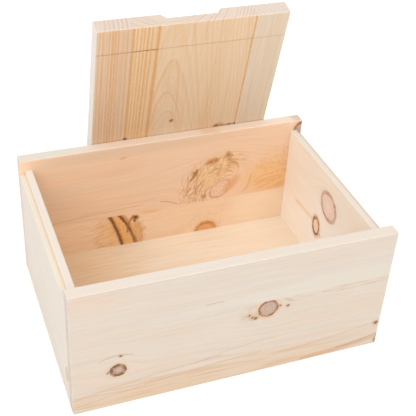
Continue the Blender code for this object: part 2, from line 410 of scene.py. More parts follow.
    def knot(self, knot):
        """A knot: a halo of resin, a broken bark ring, and a core with rings and checks."""
        far = self.distance(knot.along, knot.across, knot.long, knot.wide, knot.turn)
        size = (knot.long + knot.wide) / 2
        uneven = texture(self.along / 3.4, self.across / 3.4, self.deep / 12.0 + self.seed) - 0.5
        outside = (far - 1.0) * size + uneven * (1.2 + size * 0.10)
        self.paint(HALO, ramp(outside, 0.0, size * 0.3 + 2.5, knot.halo, 0.0))
        inside = ramp(outside, 0.0 - knot.ring - 0.5, 0.5 - knot.ring, 1.0, 0.0)
        rings = worked("SINE", far * (size * 1.3) + uneven * 2.0) * 0.5 + 0.5
        check = texture(self.along / 1.3, self.across / 5.0, self.deep / 12.0, 1.0)
        core = self.shaded(knot.core, rings * -0.10 + ramp(check, 0.3, 0.65, 0.90, 1.05) + 0.06)
        self.paint(core, inside)
        broken = texture(self.along / (size * 0.7), self.across / (size * 0.7), self.seed + 4.0, 1.0)
        band = ramp(outside, 0.0 - knot.ring - 0.8, 0.6 - knot.ring) * ramp(outside, -0.7, 0.8, 1.0, 0.0)
        band = band * ramp(broken, 0.32, 0.58, 0.6, 1.0)
        self.paint(knot.bark, band)
        self.height = self.height + inside * 0.6 - band * 0.5
        self.gloss = self.gloss - inside * 0.10

    def finish(self, low, high, edge_tone_and_highlight=EDGE_TONE, edge_share=0.6, patches=()):
        """End grain, planed edges (a painted highlight on the lid's sides), worn arrises and the shader's inputs.
        low and high bound the panel; patches are (along, long, colour, share), other tones on the planed edges."""
        pores = texture(self.along, self.across / 0.7, self.deep / 0.7, 3.0)
        sawn = ramp(pores, 0.3, 0.75, 1.03, 0.90) * (1.0 - self.ring_tone * 0.45)
        end = blended(self.tree, self.colour, END_TONE, END_SHARE)
        end = self.shaded(blended(self.tree, end, END_RING, self.ring_tone * END_RING_SHARE), sawn)
        self.colour = blended(self.tree, self.colour, end, self.end_grain)
        self.paint(edge_tone_and_highlight, self.edge_side * edge_share)
        for along, long, colour, share in patches:
            by = ramp(abs(self.mark_along - along) / long, 0.3, 1.3, share, 0.0)
            self.paint(colour, self.edge_side * by)
        gaps = []
        for field, first, last in zip((self.along, self.across, self.deep), low, high):
            middle, half = (first + last) / 2 * MM, (last - first) / 2 * MM
            gaps.append(half - abs(field - middle))
        near = worked("MINIMUM", gaps[0], gaps[1])
        other = worked("MAXIMUM", gaps[0], gaps[1])
        arris = worked("MAXIMUM", near, worked("MINIMUM", other, gaps[2]))
        rub = texture(self.along / 9.0, self.across / 9.0, self.deep / 9.0 + self.seed, 3.0)
        worn = ramp(arris + rub * 3.0, 1.2, 3.4, 1.0, 0.0)
        self.paint(EDGE_TONE, worn * WEAR_TONE_SHARE)
        self.gloss = self.gloss + self.end_grain * 0.15 - worn * 0.08
        bump = self.tree.nodes.new("ShaderNodeBump")
        bump.inputs["Strength"].default_value = BUMP_STRENGTH
        bump.inputs["Distance"].default_value = BUMP_DISTANCE
        plug(self.tree, bump.inputs["Height"], self.height - pores * self.end_grain * 0.8)
        plug(self.tree, self.shader.inputs["Base Color"], self.colour)
        plug(self.tree, self.shader.inputs["Roughness"], self.gloss)
        self.tree.links.new(bump.outputs[0], self.shader.inputs["Normal"])
        self.shader.inputs["Specular IOR Level"].default_value = SPECULAR
        return self.material


def draw(mark, *rows):
    """Draws one kind of mark once for each row, in order."""
    for row in rows:
        mark(*row)


# ==== shapes
def board_frame(origin, along, across, deep):
    """The frame of a board: its columns are the grain, the width and the way into the wood."""
    matrix = Matrix.Identity(4)
    for column, direction in enumerate((along, across, deep)):
        for row in range(3):
            matrix[row][column] = direction[row]
    matrix.translation = origin
    return matrix


def local_box(node, board):
    """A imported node's lowest and highest corners in a board's frame."""
    inverse = board.inverted()
    points = [inverse @ vertex.co for vertex in frame["nodes"][node].data.vertices]
    low = Vector(min(point[axis] for point in points) for axis in range(3))
    high = Vector(max(point[axis] for point in points) for axis in range(3))
    return low, high


def rounded(corners):
    """A closed outline; each corner is (first, second, radius), and a radius turns it into an arc."""
    outline = []
    count = len(corners)
    for index, (first, second, radius) in enumerate(corners):
        point = Vector((first, second))
        if not radius:
            outline.append(point)
            continue
        before = (Vector(corners[index - 1][:2]) - point).normalized()
        after = (Vector(corners[(index + 1) % count][:2]) - point).normalized()
        centre = point + (before + after) * radius
        for step in range(EASE_STEPS + 1):
            swing = math.pi / 2 * step / EASE_STEPS
            outline.append(centre - after * radius * math.cos(swing) - before * radius * math.sin(swing))
    return outline


def worn_ease(place, seed, ease=EASE):
    """The radius of an eased edge at a place along it, a little uneven from wear."""
    wave = noise.noise(Vector((place / WEAR_WAVE, seed, 0.0)))
    return ease * (1.0 + WEAR_SHARE * wave)


def stations(low, high, eased):
    """Places from low to high as (place, inset): the inset grows to EASE at an eased end."""
    count = max(2, round((high - low) / STATION_STEP))
    first = low + EASE if eased[0] else low
    last = high - EASE if eased[1] else high
    found = [(first + (last - first) * step / count, 0.0) for step in range(count + 1)]
    arc = []
    for step in range(1, EASE_STEPS + 1):
        swing = math.pi / 2 * step / EASE_STEPS
        arc.append((EASE * (1.0 - math.sin(swing)), EASE * (1.0 - math.cos(swing))))
    if eased[0]:
        found = [(low + back, inset) for back, inset in reversed(arc)] + found
    if eased[1]:
        found = found + [(high - back, inset) for back, inset in arc]
    return found


def placed(name, data):
    """A new object in the scene."""
    thing = bpy.data.objects.new(name, data)
    bpy.context.scene.collection.objects.link(thing)
    return thing


def settled(name, shape):
    """A new mesh object from a bmesh, which is freed."""
    mesh = bpy.data.meshes.new(name)
    shape.to_mesh(mesh)
    shape.free()
    return placed(name, mesh)


def loft(name, rings, board):
    """A closed mesh through rings of points given in a board's frame."""
    made = bmesh.new()
    rows = [[made.verts.new(board @ Vector(point)) for point in ring] for ring in rings]
    for first, second in zip(rows, rows[1:]):
        for index in range(len(first)):
            following = (index + 1) % len(first)
            made.faces.new((first[index], first[following], second[following], second[index]))
    made.faces.new(rows[0])
    made.faces.new(rows[-1])
    bmesh.ops.recalc_face_normals(made, faces=made.faces)
    return settled(name, made)


def long_board(node, board, corners, capped, grown, seed):
    """A board with its grain along the loft. corners and capped name the eased edges: low and high are
    its sides, face and back its depth. grown closes seams at the low and high side and the two ends."""
    low, high = local_box(node, board)
    low_side, high_side = low.y - grown[0], high.y + grown[1]
    rings = []
    for place, inset in stations(low.x - grown[2], high.x + grown[3], (bool(capped), bool(capped))):
        ease = worn_ease(place, seed)

        def radius(*names):
            return ease if names in corners else CRISP

        bottom = low_side + (inset if "low" in capped else 0.0)
        top = high_side - (inset if "high" in capped else 0.0)
        face = low.z + (inset if "face" in capped else 0.0)
        back = high.z - (inset if "back" in capped else 0.0)
        section = rounded([
            (bottom, face, radius("low", "face")),
            (bottom, back, radius("low", "back")),
            (top, back, radius("high", "back")),
            (top, face, radius("high", "face")),
        ])
        rings.append([(place, point.x, point.y) for point in section])
    return loft(node + "_pine", rings, board)


def end_board(node, board, inner_is_face, seed):
    """An end panel with its stepped top: an inner tongue and a lower outer ledge."""
    low, high = local_box(node, board)
    inner, outer = (low.z, high.z) if inner_is_face else (high.z, low.z)
    outward = 1.0 if outer > inner else -1.0
    shoulder = outer - outward * LEDGE_WIDTH
    ledge = high.y - LEDGE_DROP
    rings = []
    for place, _ in stations(low.x - BUTT_CLOSE, high.x + BUTT_CLOSE, (False, False)):
        ease = worn_ease(place, seed)
        section = rounded([
            (low.y, inner, CRISP),
            (high.y, inner, ease * 0.8),
            (high.y, shoulder, worn_ease(place, seed + 5.0) * 0.8),
            (ledge, shoulder, CRISP * 2),
            (ledge, outer, worn_ease(place, seed + 9.0)),
            (low.y, outer, ease),
        ])
        rings.append([(place, point.x, point.y) for point in section])
    return loft(node + "_pine", rings, board)


def recess_share(across):
    """How much of the finger recess's depth is there, across the lid."""
    reach = abs(across - RECESS_CENTRE)
    if reach >= RECESS_MOUTH_HALF:
        return 0.0
    if reach <= RECESS_FLOOR_HALF:
        return 1.0
    swing = (reach - RECESS_FLOOR_HALF) / (RECESS_MOUTH_HALF - RECESS_FLOOR_HALF)
    return (1.0 + math.cos(math.pi * swing)) / 2


def lid_section(length, thickness, share, inset, ease, other_ease):
    """The lid's outline at one station, as (along, deep): saw line inside, finger recess outside."""
    line = length - LINE_FROM_END
    scooped = thickness - RECESS_DEPTH * share - inset
    section = rounded([
        (inset, inset, ease),
        (line - LINE_HALF, inset, 0.0),
        (line, inset + LINE_DEPTH, 0.0),
        (line + LINE_HALF, inset, 0.0),
        (length - inset, inset, other_ease),
        (length - inset, scooped, ease),
        (length - RECESS_REACH + RECESS_DEPTH, scooped, 0.0),
    ])
    for step in range(1, COVE_STEPS + 1):
        swing = math.pi / 2 * step / COVE_STEPS
        along = length - RECESS_REACH + RECESS_DEPTH * (1.0 - math.sin(swing))
        section.append(Vector((along, thickness - RECESS_DEPTH * share * math.cos(swing) - inset)))
    section += rounded([
        (length / 2, thickness - inset, 0.0),
        (inset, thickness - inset, other_ease),
        (inset, inset, 0.0),
    ])[:-1]
    return section


def lid_board(node, board, eased, grown, seed):
    """One board of the lid, lofted across its width."""
    low, high = local_box(node, board)
    length, thickness = high.x - low.x, high.z - low.z
    places = stations(low.y - grown[0], high.y + grown[1], eased)
    if low.y < RECESS_CENTRE < high.y:
        slope = RECESS_MOUTH_HALF - RECESS_FLOOR_HALF
        for side in (-1.0, 1.0):
            for step in range(COVE_STEPS + 1):
                reach = RECESS_FLOOR_HALF + slope * step / COVE_STEPS
                places.append((RECESS_CENTRE + side * reach, 0.0))
        places.sort()
    rings = []
    for place, inset in places:
        ease = worn_ease(place, seed, LID_EASE)
        other = worn_ease(place, seed + 7.0, LID_EASE)
        section = lid_section(length, thickness, recess_share(place), inset, ease, other)
        rings.append([(point.x, place, point.y) for point in section])
    return loft(node + "_pine", rings, board)


def drill(thing, node):
    """Cuts the blind holes of the dowels that reach into a board."""
    low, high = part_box(node)
    bits = bmesh.new()
    for name in frame["nodes"]:
        if "dowel" not in name:
            continue
        first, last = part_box(name)
        if any(last[axis] < low[axis] or first[axis] > high[axis] for axis in range(3)):
            continue
        middle = (first + last) / 2
        radius = (last.x - first.x) / 2 + HOLE_CLEARANCE
        matrix = Matrix.Translation(middle) @ Matrix.Rotation(math.pi / 2, 4, "X")
        depth = last.y - first.y + HOLE_SLACK * 2
        bmesh.ops.create_cone(
            bits, cap_ends=True, segments=HOLE_SIDES, radius1=radius, radius2=radius, depth=depth, matrix=matrix
        )
    if not bits.verts:
        bits.free()
        return
    cutter = settled(node + "_bits", bits)
    modifier = thing.modifiers.new("holes", "BOOLEAN")
    modifier.operation = "DIFFERENCE"
    modifier.solver = "EXACT"
    modifier.object = cutter
    drilled = bpy.data.meshes.new_from_object(thing.evaluated_get(bpy.context.evaluated_depsgraph_get()))
    thing.modifiers.remove(modifier)
    thing.data = drilled
    bpy.data.objects.remove(cutter)


def dress(thing, body, material):
    """Drills, shades and paints a board, and puts it in the place of the node that it is named after."""
    node = thing.name.removesuffix("_pine")
    drill(thing, node)
    thing.data.materials.clear()
    thing.data.materials.append(material)
    thing.data.shade_smooth()
    thing.data.set_sharp_from_angle(angle=SMOOTH_ANGLE)
    modifier = thing.modifiers.new("even_normals", "WEIGHTED_NORMAL")
    modifier.keep_sharp = True
    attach(thing, body)
    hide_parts(node)


# ==== the boards
X_AXIS, Y_AXIS, Z_AXIS = Vector((1, 0, 0)), Vector((0, 1, 0)), Vector((0, 0, 1))


def front_panel(frames):
    board = frames["front"]
    low, _ = local_box("front_lower_board", board)
    _, high = local_box("front_upper_board", board)
    tone = Tone((0.60, 0.53, 0.46), (0.56, 0.44, 0.34), (0.61, 0.49, 0.39), 0.5)
    rings = Rings(150.0, 70.0, 0.03, 0.02, 6.0, 0.25)
    pine = Pine("pine_front_upper", board, tone, rings, seed=3.1)
    pine.zone(150, 148, 190, 14, (0.61, 0.565, 0.48), 0.6, 0.0, 0.7)
    pine.zone(-205, 195, 60, 22, (0.64, 0.48, 0.35), 0.4)
    pine.streak((-48, 153), (-24, 153.5), 2.4, (0.46, 0.27, 0.14), 0.45)
    thing = long_board(
        "front_upper_board", board, {("high", "face"), ("high", "back")}, {"high", "face"},
        (SEAM_CLOSE, 0.0, 0.0, 0.0), 1.0,
    )
    patches = ((190, 90, (0.65, 0.57, 0.48), 0.6),)
    dress(thing, "box", pine.finish(low, high, patches=patches))

    knots = (
        Knot(45, 122, 15.6, 15.2, 0, 3.2, (0.22, 0.10, 0.07), (0.45, 0.315, 0.24), 0.62),
        Knot(-171, 68, 11.8, 11.8, 0, 5.2, (0.17, 0.098, 0.062), (0.56, 0.37, 0.29), 0.50),
    )
    tone = Tone((0.60, 0.52, 0.44), (0.56, 0.435, 0.325), (0.61, 0.485, 0.375), 0.5)
    rings = Rings(20.0, 60.0, -0.06, 0.02, 7.5, 0.42)
    pine = Pine("pine_front_lower", board, tone, rings, knots, (0.25, 0.15), 7.7, calm=(55.0, 110.0))
    draw(
        pine.zone,
        (-40, 6, 270, 30, (0.61, 0.42, 0.255), 0.50),
        (10, 18, 75, 15, (0.61, 0.51, 0.41), 0.45),
    )
    draw(
        pine.flecks,
        (-30, 16, 280, 34, -2, (0.53, 0.32, 0.165), 0.45, (80.0, 4.2)),
        (130, 131, 130, 6, 0, (0.50, 0.31, 0.17), 0.55, (24.0, 2.2)),
        (30, 116, 32, 20, 0, (0.48, 0.31, 0.19), 0.45, (14.0, 2.4)),
    )
    pine.mark_knots()
    draw(
        pine.streak,
        ((-235, 26), (-20, 50), 3.0, STROKE_BROWN, 0.35, 4.0),
        ((-235, 12), (40, 40), 3.0, STROKE_BROWN, 0.30, 5.0),
        ((-60, 46), (60, 62), 2.6, (0.50, 0.32, 0.18), 0.30, 5.0),
        ((70, 30), (235, 48), 2.6, STROKE_BROWN, 0.35, -3.0),
        ((110, 4), (235, 16), 9.0, (0.50, 0.28, 0.13), 0.45, -2.0),
        ((168, 10), (235, 22), 3.2, (0.36, 0.18, 0.08), 0.40, -2.0, 0.8),
        ((-198, 90), (-150, 92), 2.2, (0.44, 0.26, 0.14), 0.5, 5.0),
        ((234, -2), (236, 18), 6.0, (0.27, 0.13, 0.065), 0.7, 0.0, 1.2),
    )
    pine.zone(-170, 68, 7.4, 7.0, (0.40, 0.20, 0.13), 0.85, firm=0.8)
    pine.zone(-170, 68, 5.2, 5.0, (0.48, 0.325, 0.245), 1.0, firm=0.8)
    pine.streak((-186, 66), (-183, 69), 4.0, (0.20, 0.12, 0.08), 0.6, 0.0, 1.2)
    pine.zone(24, 113, 18, 9, (0.48, 0.33, 0.21), 0.35)
    pine.zone(45, 122, 4.0, 4.0, (0.50, 0.36, 0.28), 0.5)
    specks = (
        (17, 116, 2.2), (22, 111, 2.6), (27, 108.5, 3.2), (63, 123, 2.2), (75, 120, 2.8), (-167, 94, 2.4),
        (229, 44, 4.2), (234, 8, 3.4),
    )
    for along, across, size in specks:
        pine.speck(along, across, size * 2.2, SPECK_FADE, 0.45)
        pine.speck(along, across, size)
    thing = long_board(
        "front_lower_board", board, {("low", "face")}, {"low", "face"}, (0.0, SEAM_CLOSE, 0.0, 0.0), 2.0
    )
    dress(thing, "box", pine.finish(low, high))


def swirl(pine):
    """The burr on the upper back board: a golden patch with curved grain and bark at its rim."""
    pine.zone(86, 138, 52, 38, (0.83, 0.53, 0.27), 0.62, 30)
    pine.flecks(94, 140, 46, 30, 30, (0.92, 0.66, 0.42), 0.55, (12.0, 2.8))
    draw(
        pine.ripples,
        ((97, 102), (80, 64), 35, 11.0, (140, 100), (0.62, 0.30, 0.095), 0.60),
        ((150, 118), (92, 54), 10, 7.0, (0, 75), (0.78, 0.43, 0.16), 0.45),
    )
    draw(
        pine.flecks,
        (44, 112, 24, 34, 50, (0.52, 0.24, 0.075), 0.55, (8.0, 2.4)),
        (84, 148, 46, 22, 24, SWIRL_BROWN, 0.45, (9.0, 2.8)),
    )
    for along, across, size in ((48, 140, 3.8), (76, 158, 4.4), (85, 160, 3.4), (107, 167, 3.6), (66, 91, 3.0)):
        pine.speck(along, across, size * 2.2, (0.60, 0.29, 0.09), 0.5)
        pine.speck(along, across, size, (0.40, 0.155, 0.045), 0.7)
    strokes = (
        ((44, 132), (52, 146)), ((40, 124), (46, 136)), ((52, 140), (58, 150)), ((68, 152), (78, 160)),
        ((80, 154), (92, 163)), ((97, 158), (108, 172)), ((108, 156), (114, 166)), ((36, 104), (44, 112)),
        ((40, 96), (50, 104)), ((56, 112), (66, 124)), ((50, 108), (58, 116)), ((74, 136), (88, 144)),
    )
    for start, finish in strokes:
        pine.streak(start, finish, 2.4, SWIRL_DARK, 0.50, 0.8, 1.6)
    draw(
        pine.streak,
        ((52, 146), (42, 128), 5.0, (0.42, 0.16, 0.045), 0.70, 2.0, 1.6),
        ((68, 156), (86, 162), 5.0, SWIRL_EDGE, 0.6, 2.0, 1.6),
        ((104, 172), (112, 156), 6.0, (0.54, 0.27, 0.10), 0.55, -3.0, 1.6),
        ((112, 152), (126, 140), 5.0, (0.56, 0.28, 0.10), 0.5, 3.0, 1.2),
        ((66, 84), (76, 108), 4.0, SWIRL_BROWN, 0.5, 3.0, 1.2),
        ((140, 90), (150, 118), 5.0, (0.72, 0.38, 0.13), 0.5, -3.0, 1.2),
    )


def bark_marks(pine):
    """The two dark lines of bark on the lower back board, with the stained wood round them."""
    pine.zone(-82, 50, 54, 34, (0.84, 0.50, 0.22), 0.75, -68)
    pine.flecks(-108, 44, 26, 40, 15, (0.66, 0.34, 0.11), 0.55, (16.0, 3.4), 10)
    pine.streak((-89, 84), (-64, 18), 15.0, (0.84, 0.45, 0.155), 0.9, 0.0, 0.0, 19.0)
    pine.flecks(-76, 50, 12, 36, 110, (0.62, 0.28, 0.08), 0.5, (9.0, 1.8), 20)
    draw(
        pine.streak,
        ((-98, 84), (-75, 18), 9.0, BARK_FADE, 0.75, 2.0, 1.5, 19.0),
        ((-98, 84), (-76, 18), 5.2, (0.21, 0.085, 0.03), 0.95, 2.0, 1.6, 19.0),
        ((-80, 84), (-54, 24), 10.0, BARK_FADE, 0.75, 4.0, 1.6, 19.0),
        ((-83, 84), (-53, 18), 4.8, (0.20, 0.075, 0.027), 0.95, 4.0, 1.6, 19.0),
    )
    pine.zone(-52, 48, 8.5, 32, (0.80, 0.44, 0.18), 0.75, 8)
    pine.flecks(-46, 42, 14, 34, 100, SWIRL_EDGE, 0.6, (11.0, 2.2), 8)
    pine.streak((-57, 76), (-67, 44), 4.0, (0.38, 0.17, 0.055), 0.85, -3.0, 1.3)
    pine.streak((-47, 58), (-44, 18), 9.0, (0.66, 0.35, 0.135), 0.65, 2.0, 2.0)
    pine.zone(-28, 79, 26, 4.5, (0.84, 0.46, 0.17), 0.75)
    pine.streak((-62, 42), (-50, 18), 3.4, (0.40, 0.18, 0.06), 0.75, 2.0, 1.3)
    draw(
        pine.speck,
        (-53, 71, 8.0, (0.48, 0.21, 0.07), 0.8),
        (-53, 72, 4.8, (0.15, 0.06, 0.022), 0.95),
        (-54, 65, 3.4, (0.18, 0.075, 0.028), 0.85),
    )


def back_panel(frames):
    board = frames["back"]
    low, _ = local_box("back_lower_board", board)
    _, high = local_box("back_upper_board", board)
    swirl_knot = Knot(95, 101, 22.5, 15.0, 40, 3.6, (0.70, 0.38, 0.27), (0.81, 0.54, 0.38), 0.0)
    corner_knot = Knot(236, 195, 15.0, 16.5, 0, 4.0, (0.28, 0.13, 0.09), (0.52, 0.32, 0.25), 0.4)
    tone = Tone((0.855, 0.60, 0.415), (0.79, 0.48, 0.29), (0.87, 0.565, 0.36), 0.6)
    rings = Rings(60.0, 75.0, 0.02, 0.02, 6.0, 0.25)
    knots, bends = (swirl_knot, corner_knot), ((92, 128, 34.0),)
    pine = Pine("pine_back_upper", board, tone, rings, knots, (0.2, 0.1), 12.3, bends)
    pine.zone(-60, 205, 190, 13, (0.68, 0.49, 0.34), 0.45)
    pine.zone(186, 110, 54, 40, (0.90, 0.52, 0.20), 0.60)
    pine.flecks(190, 112, 46, 42, 0, (0.72, 0.37, 0.12), 0.5, (46.0, 3.0))
    swirl(pine)
    pine.knot(swirl_knot)
    draw(
        pine.zone,
        (95, 101, 9, 5, (0.84, 0.60, 0.44), 0.5, 38),
        (115, 107, 26, 10.0, (0.78, 0.39, 0.20), 0.80, 50),
        (-73, 192, 8, 3.4, (0.70, 0.38, 0.16), 0.6),
    )
    pine.knot(corner_knot)
    draw(
        pine.streak,
        ((-195, 86), (-40, 95), 2.4, (0.66, 0.36, 0.14), 0.45, 1.0),
        ((-150, 92), (-20, 104), 2.0, (0.68, 0.40, 0.18), 0.35, 1.0),
        ((-10, 95), (20, 84), 3.0, (0.55, 0.30, 0.13), 0.45, 2.0),
    )
    thing = long_board(
        "back_upper_board", board, {("high", "face"), ("high", "back")}, {"high", "back"},
        (SEAM_CLOSE, 0.0, 0.0, 0.0), 3.0,
    )
    patches = (
        (-215, 110, (0.60, 0.55, 0.48), 0.85),
        (75, 18, (0.68, 0.46, 0.28), 0.6),
        (232, 12, (0.56, 0.38, 0.28), 0.6),
    )
    dress(thing, "box", pine.finish(low, high, patches=patches))

    knots = (Knot(73, 18, 20.0, 19.0, 0, 6.5, (0.60, 0.25, 0.065), (0.78, 0.39, 0.155), 0.4),)
    tone = Tone((0.88, 0.64, 0.44), (0.80, 0.48, 0.28), (0.88, 0.58, 0.36), 0.5)
    rings = Rings(20.0, 65.0, 0.04, 0.02, 6.0, 0.25)
    pine = Pine("pine_back_lower", board, tone, rings, knots, (0.2, 0.1), 21.9)
    # Painted light: a paler patch at the lower left, where the left end panel casts its shadow.
    pine.zone(-170, 50, 70, 70, (0.95, 0.66, 0.43), 0.6)
    pine.flecks(-150, 45, 80, 45, 3, (0.80, 0.46, 0.22), 0.35, (50.0, 4.0))
    bark_marks(pine)
    pine.ripples((73, 20), (48, 42), 0, 5.0, (90, 90), (0.74, 0.42, 0.20), 0.40)
    pine.zone(105, 62, 22, 12, (0.80, 0.52, 0.38), 0.4)
    pine.zone(180, 45, 80, 60, (0.94, 0.76, 0.58), 0.6)
    pine.mark_knots()
    thing = long_board(
        "back_lower_board", board, {("low", "back")}, {"low", "back"}, (0.0, SEAM_CLOSE, 0.0, 0.0), 4.0
    )
    dress(thing, "box", pine.finish(low, high))


def end_panels(frames):
    board = frames["right"]
    low, high = local_box("right_end_panel", board)
    knots = (
        Knot(-5, 146, 28.0, 24.0, 28, 6.2, (0.62, 0.39, 0.31), (0.89, 0.72, 0.63), 0.08),
        Knot(24, 88, 12.0, 17.5, -8, 4.4, (0.28, 0.14, 0.06), (0.93, 0.73, 0.58), 0.6),
    )
    # This tone is the wood's pale colour, brightened further as painted light on the inner face.
    tone = Tone((0.95, 0.88, 0.79), (0.92, 0.79, 0.63), (0.96, 0.83, 0.68), 0.5)
    rings = Rings(60.0, 65.0, 0.03, 0.02, 5.5, 0.12)
    pine = Pine("pine_right_end", board, tone, rings, knots, (-0.2, 0.1), 31.4)
    # Painted light: a near-white patch low at the front of the inner face, where the front panel casts its
    # shadow.
    pine.zone(-60, 70, 190, 90, (1.0, 0.97, 0.94), 0.8)
    pine.zone(-120, 150, 60, 50, (0.96, 0.84, 0.70), 0.5)
    pine.mark_knots()
    pine.zone(-5, 146, 12, 9, (0.96, 0.82, 0.75), 0.6, 28)
    pine.streak((38, 93), (100, 88), 7.0, (0.88, 0.62, 0.39), 0.6)
    # Painted shade: dark lines at the ledge's inner corner and along the tongue's outer arris, where the tongue
    # shades the ledge.
    for share, height in ((0.55, high.y - LEDGE_DROP), (0.80, high.y)):
        pine.crease(height * MM, (high.z - LEDGE_WIDTH) * MM, 2.8, LEDGE_SHADE, share)
    pine.speck(8, 80, 4.0, (0.50, 0.28, 0.14), 0.5)
    pine.speck(-22, 160, 4.5, (0.46, 0.22, 0.12), 0.5)
    thing = end_board("right_end_panel", board, True, 5.0)
    dress(thing, "box", pine.finish(low, high, RIGHT_EDGE_TONE, 0.85))

    board = frames["left"]
    low, high = local_box("left_end_panel", board)
    knots = (Knot(-140, 52, 8.0, 12.0, 10, 1.6, (0.44, 0.27, 0.18), (0.60, 0.45, 0.36), 0.25),)
    tone = Tone((0.66, 0.60, 0.53), (0.61, 0.51, 0.41), (0.66, 0.57, 0.48), 0.4)
    rings = Rings(80.0, 70.0, 0.03, 0.02, 5.5, 0.22)
    pine = Pine("pine_left_end", board, tone, rings, knots, (0.2, 0.1), 44.6)
    pine.mark_knots()
    # Painted light: a pale yellow line over the shade at the foot of the shoulder.
    pine.crease((high.y - LEDGE_DROP) * MM, (low.z + LEDGE_WIDTH) * MM, 6.0, LEDGE_PAINTED_LIGHT, 0.7)
    thing = end_board("left_end_panel", board, False, 6.0)
    dress(thing, "box", pine.finish(low, high))


def floor_boards(frames):
    board = frames["floor"]
    low, _ = local_box("floor_front_board", board)
    _, high = local_box("floor_rear_board", board)
    tone = Tone((0.77, 0.66, 0.52), (0.70, 0.52, 0.35), (0.76, 0.58, 0.40), 0.6)
    for number, node in enumerate(("floor_front_board", "floor_middle_board", "floor_rear_board")):
        pith = -160.0 + 110.0 * number
        rings = Rings(pith, 70.0, 0.04, 0.03, 6.0, 0.30)
        pine = Pine("pine_" + node, board, tone, rings, seed=51.0 + 6.3 * number)
        # Darker and warmer towards the left: the floor's own grain, and painted shadow where the left end panel
        # shades it.
        pine.zone(-170, 60, 110, 160, (0.76, 0.52, 0.30), 0.65)
        pine.zone(180, 80, 100, 170, (0.78, 0.68, 0.56), 0.4)
        pine.flecks(-120, 80, 150, 80, 2, (0.66, 0.43, 0.25), 0.35, (60.0, 5.0))
        grown = (BUTT_CLOSE if number == 0 else SEAM_CLOSE, BUTT_CLOSE if number == 2 else SEAM_CLOSE)
        thing = long_board(node, board, set(), set(), (*grown, BUTT_CLOSE, BUTT_CLOSE), 7.0 + number)
        dress(thing, "box", pine.finish(low, high))


def lid_stripes(pine, stripes):
    """Straight lines of late wood up the lid: each is (lower place, upper place, width, share)."""
    for below, above, width, share in stripes:
        pine.streak((0, below), (LID_LENGTH * MM, above), width, LATE_WOOD, share, reach=30.0)


def saw_line(pine, share):
    """Painted shade in the groove of the saw line across the lid's inner face, with no end grain on its sides."""
    gap = abs(pine.along - (LID_LENGTH * MM - LINE_FROM_END * MM))
    cut = ramp(gap, 0.6, 1.4, 1.0, 0.0) * ramp(pine.deep, 1.6, 2.2, 1.0, 0.0)
    pine.paint(SAW_LINE_SHADE, cut * share)
    pine.end_grain = pine.end_grain * (1.0 - cut)


